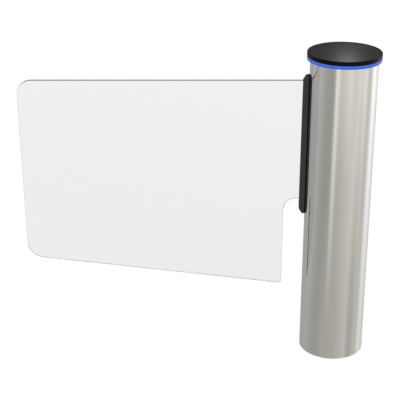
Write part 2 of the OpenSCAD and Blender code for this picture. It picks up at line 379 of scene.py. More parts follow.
def slab(outline, low, high, edge, steps=3, guard=0.25 * MM, order=(0, 1, 2)):
    """An outline carried across a thickness, with softened rims: at each level the outline
    is drawn in along its own normals by e(1 - sin t) while the level moves by e(1 - cos t).
    Flat faces close both ends. order says which axis each of (across, up, level) becomes."""
    outline = np.asarray(outline, float)
    along = np.roll(outline, -1, 0) - np.roll(outline, 1, 0)
    along /= np.linalg.norm(along, axis=1, keepdims=True)
    x, y = outline[:, 0], outline[:, 1]
    turn = np.sign(np.sum(x * np.roll(y, -1) - np.roll(x, -1) * y))
    outward = turn * np.stack([along[:, 1], -along[:, 0]], -1)
    t = np.linspace(0, np.pi / 2, steps + 1)
    inset = np.concatenate([[edge + guard], edge * (1 - np.sin(t)), [0.0]])
    rise = np.concatenate([[0.0], edge * (1 - np.cos(t)), [edge + guard]])
    inset = np.concatenate([inset, inset[::-1]])
    level = np.concatenate([low + rise, (high - rise)[::-1]])
    flat = outline[:, None] - outward[:, None] * inset[None, :, None]
    m, n = flat.shape[:2]
    grid = np.empty((m, n, 3))
    grid[..., order[:2]], grid[..., order[2]] = flat, level
    points, faces = weave(grid, True, False)
    return points, faces + [list(range(0, m * n, n)), list(range(n - 1, m * n, n))[::-1]]


def joined(*parts):
    """Several (points, faces) pairs as one."""
    points, faces, start = [], [], 0
    for part_points, part_faces in parts:
        points.append(part_points)
        faces += [[start + i for i in face] for face in part_faces]
        start += len(part_points)
    return np.concatenate(points), faces


def make_piece(name, surface, materials, body, replaces=(), crease=35.0):
    """Puts a surface into a mesh that rides on a body. Doubled points are merged, faces are
    turned outwards, and only edges sharper than the crease stay sharp."""
    mesh = bpy.data.meshes.new(name)
    mesh.from_pydata(surface[0].tolist(), [], surface[1])
    work = bmesh.new()
    work.from_mesh(mesh)
    bmesh.ops.remove_doubles(work, verts=work.verts, dist=0.001 * MM)
    bmesh.ops.recalc_face_normals(work, faces=work.faces)
    work.to_mesh(mesh)
    work.free()
    mesh.shade_smooth()
    mesh.set_sharp_from_angle(angle=math.radians(crease))
    for material in materials:
        mesh.materials.append(material)
    piece = bpy.data.objects.new(name, mesh)
    bpy.context.scene.collection.objects.link(piece)
    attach(piece, body)
    if replaces:
        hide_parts(*replaces)
    return piece


def split_faces(piece, chosen):
    """Gives a piece's second material to the faces whose normals are chosen."""
    facing = np.empty(len(piece.data.polygons) * 3)
    piece.data.polygons.foreach_get("normal", facing)
    second = chosen(facing.reshape(-1, 3)).astype(np.int32)
    piece.data.polygons.foreach_set("material_index", second)


# ---- shader trees ----

class Wire:
    """One value in a shader tree. Arithmetic on it adds Math nodes."""

    def __init__(self, paint, socket):
        self.paint, self.socket = paint, socket

    def maths(self, operation, *values):
        """A Math node of these values."""
        return self.paint.add("ShaderNodeMath", {"operation": operation},
                              dict(enumerate(values)))[0]

    def __add__(self, other):
        return self.maths("ADD", self, other)

    __radd__ = __add__

    def __sub__(self, other):
        return self.maths("SUBTRACT", self, other)

    def __rsub__(self, other):
        return self.maths("SUBTRACT", other, self)

    def __mul__(self, other):
        return self.maths("MULTIPLY", self, other)

    __rmul__ = __mul__

    def __truediv__(self, other):
        return self.maths("DIVIDE", self, other)

    def __rtruediv__(self, other):
        return self.maths("DIVIDE", other, self)

    def __pow__(self, other):
        return self.maths("POWER", self, other)

    def __rpow__(self, other):
        return self.maths("POWER", other, self)

    def __neg__(self):
        return self.maths("MULTIPLY", self, -1.0)


class Added:
    """A node that was added, whose outputs are read by name or number."""

    def __init__(self, paint, node):
        self.paint, self.node = paint, node

    def __getitem__(self, key):
        return Wire(self.paint, find_socket(self.node.outputs, key))


def find_socket(sockets, key):
    """A socket by its number, its identifier or its name."""
    if isinstance(key, int):
        return sockets[key]
    for s in sockets:
        if key in (s.identifier, s.name):
            return s
    raise KeyError(f"no socket {key!r} in {[s.identifier for s in sockets]}")


class Paint:
    """The shader tree of a material or a world, and the one method that adds a node to it."""

    def __init__(self, owner):
        owner.use_nodes = True
        self.owner, self.tree = owner, owner.node_tree
        self.tree.nodes.clear()

    def add(self, kind, settings=None, sockets=None):
        """Adds a node: its settings first (a ramp's stops as position and colour), then the
        values or wires of its sockets."""
        node = self.tree.nodes.new(kind)
        for key, value in (settings or {}).items():
            if key == "stops":
                elements = node.color_ramp.elements
                while len(elements) < len(value):
                    elements.new(1.0)
                for element, (position, colour) in zip(elements, value):
                    element.position, element.color = position, (*colour, 1.0)
            else:
                setattr(node, key, value)
        for key, value in (sockets or {}).items():
            target = find_socket(node.inputs, key)
            if isinstance(value, Wire):
                self.tree.links.new(value.socket, target)
            elif target.type == "RGBA":
                target.default_value = (*value, 1.0)
            else:
                target.default_value = value
        return Added(self, node)

    def mix(self, factor, first, second):
        """A colour between two, by a factor."""
        sockets = {"Factor_Float": factor, "A_Color": first, "B_Color": second}
        return self.add("ShaderNodeMix", {"data_type": "RGBA"}, sockets)["Result_Color"]

    def varied(self, factor, colour, spread):
        """A colour that a factor moves from a darker to a lighter tone."""
        return self.mix(factor, *tones(colour, spread))

    def fade(self, value, low, high):
        """0 up to the low end, 1 from the high end on, and straight between them."""
        return self.add("ShaderNodeMapRange", {}, {"Value": value, 1: low, 2: high})[0]

    def place(self):
        """Where a point lies on the piece."""
        return self.add("ShaderNodeTexCoord")["Object"]

    def split(self, vector):
        """The X, Y and Z of a vector."""
        return self.add("ShaderNodeSeparateXYZ", {}, {0: vector})

    def noise(self, stretch, detail=2.0, roughness=0.5):
        """Noise with this many grains per metre, all ways alike or along each axis."""
        scaled = self.add("ShaderNodeVectorMath", {"operation": "MULTIPLY"},
                          {0: self.place(), 1: tuple(np.broadcast_to(stretch, 3))})["Vector"]
        return self.add("ShaderNodeTexNoise", {"noise_dimensions": "3D"},
                        {"Vector": scaled, "Scale": 1.0, "Detail": detail,
                         "Roughness": roughness})[0]

    def rings(self, count, upright=False):
        """Noise in lathe rings, this many a metre out from the axis, and as many a metre of
        height where a piece has upright faces too."""
        axes = self.split(self.place())
        along = (axes["X"] ** 2 + axes["Y"] ** 2) ** 0.5
        if upright:
            along = along + axes["Z"]
        return self.add("ShaderNodeTexNoise", {"noise_dimensions": "1D"},
                        {"W": along * count, "Scale": 1.0, "Detail": 2.0})[0]

    def surface(self, colour, roughness, bump, metallic=0.0, specular=0.5, **others):
        """Ends a material's tree in one Principled shader. A bump is a height between 0 and
        1, its distance in millimetres and its strength."""
        height, distance, strength = bump
        normal = self.add("ShaderNodeBump", {}, {
            "Height": height, "Distance": distance * MM, "Strength": strength})["Normal"]
        shader = self.add("ShaderNodeBsdfPrincipled", {}, {
            "Base Color": colour, "Roughness": roughness, "Normal": normal,
            "Metallic": metallic, "Specular IOR Level": specular, **others})["BSDF"]
        self.add("ShaderNodeOutputMaterial", {}, {"Surface": shader})


def new_paint(name):
    """The empty tree of a new material."""
    return Paint(bpy.data.materials.new(name))


def tones(colour, spread):
    """A darker and a lighter tone of a colour."""
    colour = np.asarray(colour, float)
    return colour * (1 - spread), np.minimum(colour * (1 + spread), 1.0)


def grey(level):
    """A grey of a level."""
    return (level,) * 3


# ---- materials: each function fills a new material's empty tree ----

def ground_steel(p, colour, roughness):
    """Steel ground round its axis: long fine rings in height, sheen and colour, over faint
    wide clouds in the polish."""
    rings, clouds = p.noise((14.0, 14.0, 1500.0), 3.0, 0.6), p.noise((7.0, 7.0, 5.0))
    p.surface(p.varied(rings * 0.6 + clouds * 0.4, colour, 0.03),
              roughness - 0.03 + rings * 0.04 + clouds * 0.02,
              (rings, 0.006, 0.4), metallic=1.0)


def turned_black(p, colour):
    """Black anodised face turned on a lathe: very fine rings in a satin sheen."""
    rings = p.rings(1800.0)
    p.surface(p.varied(rings, colour, 0.08), 0.265 + rings * 0.03,
              (rings, 0.002, 0.3), specular=0.35)


def cap_band_shade(p, colour):
    """Black band round the cap's side and underside, far darker than its top as painted
    shade: smooth paint over fine lines round the axis.
    """
    lines, clouds = p.noise((12.0, 12.0, 1600.0)), p.noise(35.0)
    p.surface(p.varied(clouds, colour, 0.2), 0.36 + lines * 0.06,
              (lines, 0.004, 0.4), specular=0.08)


def powder_coat(p, colour, roughness=0.42, grain=900.0):
    """Baked powder coat: a fine orange-peel skin with a slightly uneven sheen."""
    peel, clouds = p.noise(grain), p.noise(22.0, 3.0)
    p.surface(p.varied(clouds, colour, 0.12),
              roughness - 0.05 + clouds * 0.06 + peel * 0.04,
              (peel, 0.02, 0.5), specular=0.4)


def soft_rubber(p):
    """Matt extruded rubber with fine drawn lines and a dusty bloom."""
    drawn, bloom = p.noise((1500.0, 1500.0, 12.0)), p.noise((60.0, 60.0, 30.0), 3.0)
    p.surface(p.varied(bloom, (0.003, 0.003, 0.0032), 0.35),
              0.62 + bloom * 0.12 + drawn * 0.05, (drawn, 0.02, 0.5), specular=0.1)


def lit_guide(p, colour, strength, low, high):
    """Frosted light guide, lit from inside: brightest just under its upper edge and a
    little deeper in colour towards the lower one."""
    level = (p.split(p.place())["Z"] - low) / (high - low)
    frost = p.noise(700.0)
    deep, pale = np.multiply(colour, (0.5, 0.68, 0.88)), np.multiply(colour, (1.5, 1.5, 1.12))
    glow = {"Emission Color": p.mix(level * 0.9 + frost * 0.1, deep, pale),
            "Emission Strength": strength}
    p.surface((0.008, 0.025, 0.13), 0.34 + frost * 0.08, (frost, 0.01, 0.4),
              specular=0.15, **glow)


def clear_glass(p, colour):
    """Clear toughened float glass, with the faint waviness that its furnace leaves."""
    p.surface(colour, 0.0, (p.noise((5.0, 5.0, 9.0), 1.0), 0.05, 0.3),
              **{"IOR": 1.5, "Transmission Weight": 1.0})


def polished_edge(p, colour, ground_shade_colour):
    """Edge of the glass, polished: clear, with fine lines left along the path of the wheel
    and a little haze. The top edge, the corners as they near it, and the edge beside the
    post are ground, so they are duller, and they carry painted shade: a dark tint that makes
    the top edge a dark line and darkens the tube's reflection of the edge beside the post."""
    axes = p.split(p.place())
    top = p.fade(axes["Z"], WING_TOP - 36 * MM, WING_TOP - 12 * MM)
    beside = p.fade(axes["X"], POST_SIDE - 0.8 * MM, POST_SIDE - 0.1 * MM)
    below = p.fade(-axes["Z"], 15 * MM - NOTCH_TOP, 32 * MM - NOTCH_TOP)
    # Where the edge is ground it is duller, and darker with painted shade.
    ground = top.maths("MAXIMUM", top, beside * below)
    lines = p.noise((900.0, 2500.0, 900.0))
    p.surface(p.mix(ground, p.varied(lines, colour, 0.05), ground_shade_colour),
              0.06 + lines * 0.06 + ground * 0.06, (lines, 0.01, 0.5),
              **{"IOR": 1.15, "Transmission Weight": 0.5})


def cast_alloy(p):
    """Turned cast aluminium: lathe rings and a faint cast mottle."""
    rings, mottle = p.rings(1600.0, upright=True), p.noise(160.0, 3.0)
    p.surface(p.varied(mottle, (0.62, 0.63, 0.65), 0.1),
              0.32 + mottle * 0.1 + rings * 0.06, (rings, 0.01, 0.5), metallic=1.0)


def primed_steel(p):
    """Welded steel under zinc-grey primer: a sprayed skin, thinner and darker in places."""
    spray, coats = p.noise(600.0), p.noise((18.0, 18.0, 12.0), 4.0, 0.6)
    p.surface(p.varied(coats, (0.32, 0.33, 0.34), 0.18), 0.48 + coats * 0.12,
              (spray, 0.03, 0.5), specular=0.4)


def bush_plastic(p):
    """Natural acetal, turned, with soft lathe lines and a waxy sheen."""
    lines, clouds = p.noise((30.0, 30.0, 1400.0)), p.noise(40.0)
    p.surface(p.varied(clouds, (0.78, 0.75, 0.66), 0.06), 0.34 + lines * 0.1,
              (lines, 0.01, 0.5))


def plated_steel(p):
    """Zinc-plated screws and nuts: a bright uneven plating, duller in patches."""
    patches, grain = p.noise(260.0, 3.0), p.noise(2500.0)
    p.surface(p.varied(patches, (0.60, 0.59, 0.55), 0.18), 0.24 + patches * 0.14,
              (grain, 0.004, 0.5), metallic=1.0)


def weld_metal(p):
    """Bare weld: brushed crests over brown and blue heat stain, with fine spatter."""
    stain, spatter = p.noise(120.0, 3.0, 0.6), p.noise(1400.0)
    dark, light = tones((0.23, 0.22, 0.21), 0.35)
    p.surface(p.mix(stain, dark * (1.1, 0.95, 0.85), light), 0.38 + stain * 0.2,
              (spatter, 0.03, 0.5), metallic=0.8)


SHAFT_STEEL = ((0.66, 0.66, 0.68), 0.16)  # colour and roughness
FINISHES = {}


def finish(name, maker, *values):
    """A material that several pieces share, made the first time that it is asked for."""
    if name not in FINISHES:
        FINISHES[name] = new_paint(name)
        maker(FINISHES[name], *values)
    return FINISHES[name].owner


# ---- operators ----

class TURNSTILE_OT_stage(bpy.types.Operator):
    """Lay the pale floor and set the studio light and the camera"""

    bl_idname = "turnstile.stage"
    bl_label = "Stage"

    # Light that polished metal mirrors, by bearing in degrees from the front, positive to
    # the right: soft boxes and grey screens round the post, at waist height and lower down.
    WAIST = (
        (-180, 0.53), (-140, 0.55), (-112, 0.74), (-85, 0.68), (-62, 0.55), (-41, 0.50),
        (-34, 0.66), (-30, 1.05), (-26, 1.30), (-21, 1.12), (-13, 0.90), (0, 0.97),
        (20, 1.15), (36, 0.96), (52, 1.12), (60, 1.05), (76, 1.22), (84, 0.95),
        (92, 0.86), (101, 1.00), (108, 1.42), (117, 1.72), (132, 1.30), (141, 1.15),
        (149, 0.90), (165, 0.72), (180, 0.60),
    )
    KNEE = (
        (-180, 0.48), (-140, 0.53), (-105, 0.71), (-85, 0.62), (-65, 0.50), (-42, 0.49),
        (-35, 0.62), (-30, 0.97), (-26, 1.05), (-22, 0.93), (-17, 0.71), (-11, 0.68),
        (0, 0.72), (20, 0.83), (36, 0.91), (44, 0.96), (60, 0.84), (76, 0.90),
        (92, 0.76), (100, 0.95), (108, 1.22), (116, 1.39), (124, 1.31), (132, 1.12),
        (140, 1.04), (148, 0.80), (165, 0.71), (180, 0.60),
    )
    LOW = (
        (-180, 0.50), (-165, 0.50), (-145, 0.53), (-125, 0.60), (-105, 0.60), (-85, 0.53),
        (-65, 0.51), (-48, 0.57), (-42, 0.60), (0, 0.62), (20, 0.70), (36, 0.775),
        (44, 0.785), (52, 0.65), (60, 0.585), (68, 0.60), (76, 0.69), (84, 0.77),
        (92, 0.755), (100, 0.85), (108, 1.07), (116, 1.03), (124, 1.00), (132, 0.88),
        (140, 0.82), (148, 0.74), (165, 0.76), (180, 0.60),
    )
    # Shares of red and blue in that light, by bearing: cooler at the far left and right.
    TINT = ((-180, 0.985, 1.03), (-110, 0.97, 1.00), (-80, 0.97, 0.985), (-60, 0.975, 0.965),
            (-50, 0.995, 0.94), (8, 1.015, 0.935), (30, 1.015, 0.95), (85, 1.01, 0.955),
            (105, 0.995, 0.985), (150, 1.00, 1.01), (180, 0.985, 1.03))
    # Where each row of screens gives way to what stands above it, by the sine of the slope.
    LOW_TOP, KNEE_TOP, WAIST_TOP = (-0.485, -0.375), (-0.375, -0.292), (-0.05, 0.10)
    # Above them: a dim wall, a black flag on it behind the post, and a paler ceiling.
    WALL, FLAG, CEILING = grey(0.30), grey(0.07), grey(0.60)
    WALL_TOP = (0.50, 0.80)
    FLAG_SIDE = (0.36, 0.44)  # turns from the front, to either side
    WHITE = grey(1.0)

    def execute(self, context):
        settings, scene = context.scene.turnstile_stage, context.scene
        scene.view_settings.view_transform = "Standard"
        self.lay_floor(scene, settings)
        self.hang_lamps(scene, settings)
        self.set_world(scene, settings)
        camera = bpy.data.objects.new("camera", bpy.data.cameras.new("camera"))
        camera.data.lens = settings.lens
        camera.data.sensor_width = 36.0  # millimetres
        camera.location = settings.camera_place
        camera.rotation_euler = (settings.camera_pitch, 0.0, 0.0)
        scene.collection.objects.link(camera)
        scene.camera = camera
        return {"FINISHED"}

    def mirrored(self, rays):
        """1 for a ray that a glossy surface has sent on, and 0 for any other."""
        return rays["Glossy Depth"].maths("MINIMUM", rays["Glossy Depth"], 1.0)

    def lay_floor(self, scene, settings):
        """A flat floor that shows white to the eye and keeps part of the shadows. It lies
        a little below the foot and isn't there for mirrors."""
        half, drop = settings.floor_width / 2, 0.2 * MM
        span = np.linspace(-half, half, 5)
        x, y = np.meshgrid(span, span, indexing="ij")
        points, faces = weave(np.stack([x, y, 0 * x - drop], -1), False, False)
        mesh = bpy.data.meshes.new("floor")
        mesh.from_pydata(points.tolist(), [], faces)
        p = new_paint("pale_floor")

        def matt(level):
            return p.add("ShaderNodeBsdfDiffuse", {}, {"Color": grey(level)})[0]

        def blend(factor, first, second):
            return p.add("ShaderNodeMixShader", {}, {0: factor, 1: first, 2: second})[0]

        rays = p.add("ShaderNodeLightPath")
        seen = rays["Is Camera Ray"]
        seen = seen.maths("MAXIMUM", seen, rays["Is Transmission Ray"])
        glow = p.add("ShaderNodeEmission", {}, {"Color": self.WHITE, "Strength": 1.05})[0]
        both = blend(seen, matt(0.82), blend(0.12, glow, matt(0.92)))
        gone = p.add("ShaderNodeBsdfTransparent")[0]
        p.add("ShaderNodeOutputMaterial", {}, {
            "Surface": blend(self.mirrored(rays), both, gone)})
        mesh.materials.append(p.owner)
        floor = bpy.data.objects.new("floor", mesh)
        scene.collection.objects.link(floor)
        floor.visible_glossy = False

    def hang_lamps(self, scene, settings):
        """Two wide soft lamps that metal doesn't mirror, and a small one above and behind
        the head that only glossy surfaces show."""
        def hang(name, kind, strength):
            lamp = bpy.data.objects.new(name, bpy.data.lights.new(name, kind))
            lamp.data.energy = strength
            scene.collection.objects.link(lamp)
            return lamp

        for name, strength, tilt, bearing in (("key_lamp", settings.key_light, 42.0, -38.0),
                                              ("fill_lamp", settings.fill_light, 50.0, 55.0)):
            lamp = hang(name, "SUN", strength)
            lamp.data.angle = math.radians(40.0)
            lamp.rotation_euler = (math.radians(tilt), 0.0, math.radians(bearing))
            lamp.visible_glossy = False
        lamp = hang("cap_lamp", "POINT", settings.cap_light)
        lamp.data.shadow_soft_size = 0.04
        lamp.location = (0.068, 0.455, CAP_TOP + 0.25)
        lamp.visible_camera = lamp.visible_diffuse = lamp.visible_transmission = False

    def set_world(self, scene, settings):
        """White to the eye, even for soft light, and the ring of soft boxes for mirrors."""
        scene.world = bpy.data.worlds.new("studio")
        p = Paint(scene.world)
        axes = p.split(p.add("ShaderNodeTexCoord")["Generated"])
        x, y, z = axes["X"], axes["Y"], axes["Z"]
        bearing = x.maths("ARCTAN2", x, -y) / (2 * math.pi) + 0.5

        def screen(levels):
            at, red, blue = np.array(self.TINT).T
            stops = []
            for degrees, level in levels:
                r, b = np.interp(degrees, at, red), np.interp(degrees, at, blue)
                stops.append((degrees / 360 + 0.5, (level * r, level, level * b)))
            return p.add("ShaderNodeValToRGB", {"stops": stops}, {0: bearing})["Color"]

        below = p.mix(p.fade(z, *self.LOW_TOP), screen(self.LOW), screen(self.KNEE))
        screens = p.mix(p.fade(z, *self.KNEE_TOP), below, screen(self.WAIST))
        off = bearing - 0.5
        wall = p.mix(p.fade(off.maths("ABSOLUTE", off), *self.FLAG_SIDE), self.WALL, self.FLAG)
        upper = p.mix(p.fade(z, *self.WALL_TOP), wall, self.CEILING)
        rays = p.add("ShaderNodeLightPath")
        upper = p.mix(rays["Is Transmission Ray"], upper, self.WHITE)
        boxes = p.mix(p.fade(z, *self.WAIST_TOP), screens, upper)
        plain = p.mix(rays["Is Diffuse Ray"], self.WHITE, grey(settings.soft_light))
        background = p.add("ShaderNodeBackground", {}, {
            "Color": p.mix(self.mirrored(rays), plain, boxes), "Strength": 1.0})[0]
        p.add("ShaderNodeOutputWorld", {}, {"Surface": background})


class TURNSTILE_OT_post_tube(bpy.types.Operator):
    """Make the ground steel tube of the post"""

    bl_idname = "turnstile.post_tube"
    bl_label = "Post tube"

    def execute(self, context):
        post = context.scene.turnstile_post
        steel = finish("ground_steel", ground_steel, post.colour, post.roughness)
        profile = rounded(
            [(BORE_R, TUBE_LOW), (TUBE_R, TUBE_LOW), (TUBE_R, TUBE_TOP), (BORE_R, TUBE_TOP)],
            post.soften)
        make_piece("post_tube", turned(profile, post.sides), [steel], WING,
                   ["sleeve"])
        return {"FINISHED"}


class TURNSTILE_OT_head(bpy.types.Operator):
    """Make the black cap and the lit ring under it"""

    bl_idname = "turnstile.head"
    bl_label = "Cap and light ring"

    def execute(self, context):
        head, sides = context.scene.turnstile_head, context.scene.turnstile_post.sides
        black = finish("turned_black", turned_black, head.cap_colour)
        band = finish("cap_band_shade", cap_band_shade, head.rim_shade_colour)
        cap = make_piece("cap_disc", turned(self.cap(head.bevel), sides, closed=False),
                         [band, black], WING, ["cap"])
        # The turned top keeps the lighter colour; the side and underside take the band, far
        # darker as painted shade.
        split_faces(cap, lambda facing: facing[:, 2] > 0.9)  # the turned top
        glow = finish("lit_guide", lit_guide, head.light_colour, head.light_strength,
                      TUBE_TOP, LIGHT_TOP)
        ring = rounded(
            [(TUBE_R, TUBE_TOP), (HEAD_R, TUBE_TOP), (HEAD_R, LIGHT_TOP), (TUBE_R, LIGHT_TOP)],
            [0.3 * MM, 0.8 * MM, 0.3 * MM, 0.3 * MM], guard=0.2 * MM)
        make_piece("light_guide", turned(ring, sides), [glow], WING,
                   ["light_ring"])
        return {"FINISHED"}

    def cap(self, bevel):
        """Half section of the cap from the middle of its underside, out over the bevelled
        rim, to the middle of its top: the outline is rounded with both middles in it, and
        then each of them becomes one point on the axis."""
        pole, blunt = 0.01 * MM, 0.3 * MM
        rim = rounded(
            [(0.0, LIGHT_TOP), (HEAD_R, LIGHT_TOP), (HEAD_R, CAP_TOP - bevel),
             (HEAD_R - bevel, CAP_TOP), (0.0, CAP_TOP)],
            [pole, blunt, blunt, blunt, pole], guard=0.2 * MM)
        rim = np.roll(rim, -int(np.argmax(rim[:, 0] > 0.001 * MM)), 0)
        rim = rim[rim[:, 0] > 2 * pole]
        return np.concatenate([[[0.0, LIGHT_TOP]], rim, [[0.0, CAP_TOP]]])


class TURNSTILE_OT_clamp(bpy.types.Operator):
    """Make the slotted clamp bar and the gasket that holds the glass in it"""

    bl_idname = "turnstile.clamp"
    bl_label = "Clamp and gasket"

    SLOT_GAP = 0.3 * MM

    def execute(self, context):
        clamp = context.scene.turnstile_clamp
        coat = finish("powder_coat", powder_coat, clamp.colour)
        rubber = finish("gasket_rubber", soft_rubber)
        make_piece("clamp_bar", self.bar(clamp), [coat], WING,
                   ["clamp_channel"])
        # The near-black rubber pad between bar and tube also stands for the contact shadow
        # there: painted shade.
        strip = []
        for r, way in ((TUBE_R, 1), (TUBE_R + clamp.pad, -1)):
            turn = way * math.degrees((CLAMP_Y - 0.5 * MM) / r)
            strip.append(arc((0, 0), r, 180 + turn, 180 - turn, 9))
        pad = slab(np.concatenate(strip), CLAMP_LOW, CLAMP_HIGH, 0.2 * MM, guard=0.1 * MM)
        make_piece("clamp_shade_pad", pad, [rubber], WING, ["clamp_channel"])
        tip, root = 0.35 * MM, 0.1 * MM
        gasket = rounded(
            [(-LIP_X, -SLOT_Y), (-SLOT_X, -SLOT_Y), (-SLOT_X, SLOT_Y), (-LIP_X, SLOT_Y),
             (-LIP_X, GLASS_Y), (-GLASS_X, GLASS_Y), (-GLASS_X, -GLASS_Y), (-LIP_X, -GLASS_Y)],
            [tip, tip, tip, tip, tip, root, root, tip], steps=4, guard=0.02 * MM)
        make_piece("glass_gasket", slab(gasket, NOTCH_TOP, WING_TOP, 0.1 * MM, guard=0.05 * MM),
                   [rubber], WING, ["glass_liner"])
        return {"FINISHED"}

    def bar(self, clamp):
        """The bar's plan carried up its height. The plan is an arc on the pad at the back,
        two flat sides, rounded outer corners and the slot's floor. With height h above the
        nearer end, the outer face stands back by chamfer_x (1 - h / chamfer_z), blended
        over a short stretch where that reaches nothing, and the slot's depth is 0 past the
        ends of the glass. Near each end the plan draws in by e (1 - sin t) while the level
        moves by e (1 - cos t)."""
        e, blend, inside, guard = clamp.soften, 1.2 * MM, 0.5 * MM, 0.3 * MM
        t = np.linspace(0, np.pi / 2, 5)
        turn_over = clamp.chamfer_z + blend * np.linspace(-1, 1, 7)
        h = np.concatenate([[0.0], e * (1 - np.cos(t)), turn_over])
        inset = np.concatenate([[e + inside], e * (1 - np.sin(t)), 0 * turn_over])
        left = clamp.chamfer_z - h
        eased = np.where(np.abs(left) < blend, (left + blend) ** 2 / (4 * blend),
                         np.maximum(left, 0))
        back = clamp.chamfer_x / clamp.chamfer_z * eased
        low, high = NOTCH_TOP - self.SLOT_GAP, WING_TOP + self.SLOT_GAP
        level = np.concatenate([CLAMP_LOW + h, [low, low, high, high], (CLAMP_HIGH - h)[::-1]])
        inset = np.concatenate([inset, [0, 0, 0, 0], inset[::-1]])[:, None]
        outer = CLAMP_X - np.concatenate([back, [0, 0, 0, 0], back[::-1]])[:, None] - inset
        slot = np.zeros((len(level), 1))
        slot[len(h) + 1:len(h) + 3] = CLAMP_X - SLOT_X
        half = CLAMP_Y - inset

        seat_y = half * np.linspace(1, -1, 9)[None]
        seat_x = -np.sqrt((TUBE_R + clamp.pad) ** 2 - seat_y ** 2)
        a = np.radians(np.linspace(0, 90, 6))[None]
        flank, front = half - e, outer - e
        side_y = np.concatenate([-half, -half, -flank - e * np.cos(a), -flank + guard], 1)
        side_x = np.concatenate([seat_x[:, -1:] - guard, -front + guard,
                                 -front - e * np.sin(a), -outer], 1)
        mouth_y = np.broadcast_to([[-SLOT_Y, -SLOT_Y, SLOT_Y, SLOT_Y]], (len(level), 4))
        mouth_x = np.concatenate([-outer, -(outer - slot), -(outer - slot), -outer], 1)
        x = np.concatenate([seat_x, side_x, mouth_x, side_x[:, ::-1]], 1)
        y = np.concatenate([seat_y, side_y, mouth_y, -side_y[:, ::-1]], 1)
        grid = np.stack([x, y, np.broadcast_to(level[:, None], x.shape)], -1)
        points, faces = weave(grid, False, True)
        m, n = grid.shape[:2]
        return points, faces + [list(range(n))[::-1], list(range((m - 1) * n, m * n))]


class TURNSTILE_OT_glass(bpy.types.Operator):
    """Make the glass wing with its bevelled, polished edges"""

    bl_idname = "turnstile.glass"
    bl_label = "Glass wing"

    TOP_R, FREE_R, LOW_R, NOTCH_R, SEATED_R = 44 * MM, 55 * MM, 10 * MM, 38 * MM, 1.2 * MM

    def execute(self, context):
        wing = context.scene.turnstile_wing
        # The leaning free edge starts a little past the furthest point of its rounded corner.
        free_x = -WING_END - wing.lean * self.TOP_R / (WING_TOP - wing.free_low)
        corners = [(-GLASS_X, WING_TOP), (free_x, WING_TOP), (free_x + wing.lean, wing.free_low),
                   (POST_SIDE, WING_LOW), (POST_SIDE, NOTCH_TOP), (-GLASS_X, NOTCH_TOP)]
        radii = [self.SEATED_R, self.TOP_R, self.FREE_R, self.LOW_R, self.NOTCH_R, self.SEATED_R]
        outline = rounded(corners, radii, steps=16, guard=1.0 * MM)
        surface = slab(outline, -GLASS_Y, GLASS_Y, wing.arris, steps=1, guard=0.2 * MM,
                       order=(0, 2, 1))
        clear = finish("clear_glass", clear_glass, wing.colour)
        edge = finish("polished_edge", polished_edge, wing.edge_colour, wing.ground_shade_colour)
        piece = make_piece("glass_leaf", surface, [clear, edge], WING,
                           ["glass_wing"], crease=20.0)
        split_faces(piece, lambda facing: np.abs(facing[:, 1]) < 0.99)  # all but the sides
        return {"FINISHED"}


class TURNSTILE_OT_screws(bpy.types.Operator):
    """Make the floor anchors and the screws of the clamp, hub, housing and flange"""

    bl_idname = "turnstile.screws"
    bl_label = "Screws and anchors"

    def execute(self, context):
        core = context.scene.turnstile_core
        steel = finish("plated_steel", plated_steel)
        # Each circle of screws: the screw, the circle's radius, how many and the first's angle.
        flange = around(socket_screw(M6, FLANGE_TOP, 1, 16 * MM), HOUSING_R + 6 * MM, 6, 30.0)
        housing = around(socket_screw(M5_LOW, HOUSING_TOP, 1, 16 * MM), HOUSING_R - 6.5 * MM, 6)
        hub = around(socket_screw(M8, HUB_FLANGE_LOW, -1, 14 * MM), HUB_R - 14 * MM, 6)
        cap = around(socket_screw(M5, PLATE_LOW, -1, 20 * MM, 1 * MM), BORE_R - 30 * MM, 3)
        for name, body, surface in (
            ("floor_anchors", CORE, around(self.anchor(), core.anchor_circle, 4, 45.0)),
            ("flange_screws", CORE, flange),
            ("housing_screws", CORE, housing),
            ("hub_screws", WING, hub),
            ("cap_screws", WING, cap),
            ("clamp_screws", WING, self.clamp_row(core)),
        ):
            make_piece(name, surface, [steel], body)
        return {"FINISHED"}

    def anchor(self):
        """A stud through the base plate with a washer and a chamfered hexagon nut, turned as
        one profile of radius, height and, on the nut, half its width across flats. Above the
        nut the stud's thread is a row of crests and roots."""
        stud, root, washer = 6 * MM, 5.5 * MM, 12 * MM
        flat, corner, shoulder, face = 9.5 * MM, 11 * MM, 10.1 * MM, 9.3 * MM
        low, top = 0.5 * MM, BASE_TOP + 2.5 * MM
        nut = top + 10.8 * MM
        end = nut + 7.8 * MM
        pitch = 0.875 * MM  # half the thread's, from a crest to a root
        crest = np.arange(nut + 0.4 * MM, nut + 7.2 * MM, pitch)
        thread = np.stack([np.where(np.arange(len(crest)) % 2, root, stud), crest], -1)
        profile = np.concatenate([
            [(0, low), (root, low), (stud, 2 * low), (stud, BASE_TOP), (washer, BASE_TOP),
             (washer, top - 0.3 * MM), (washer - 0.3 * MM, top), (face, top),
             (shoulder, top + 0.4 * MM), (corner, top + 1.2 * MM), (corner, nut - 1.2 * MM),
             (shoulder, nut - 0.4 * MM), (face, nut), (stud, nut)],
            thread, [(stud - MM, end), (0, end)]])
        height = profile[:, 1]
        on_nut = (height > top + 0.1 * MM) & (height < nut - 0.1 * MM)
        return turned(profile, 72, False, np.where(on_nut, flat, np.inf))

    def clamp_row(self, core):
        """Screws laid along X: the screw's own height becomes its distance from the axis."""
        washer, short = 1.6 * MM, 2 * MM
        points, faces = socket_screw(M6, -BAR_X, 1, SLOT_X - short - BAR_X, washer)
        laid = np.stack([points[:, 2], points[:, 1], points[:, 0]], -1)
        heights = np.linspace(CLAMP_LOW + core.first_screw, CLAMP_HIGH - core.first_screw,
                              core.clamp_screws)
        return joined(*[(laid + (0, 0, z), faces) for z in heights])


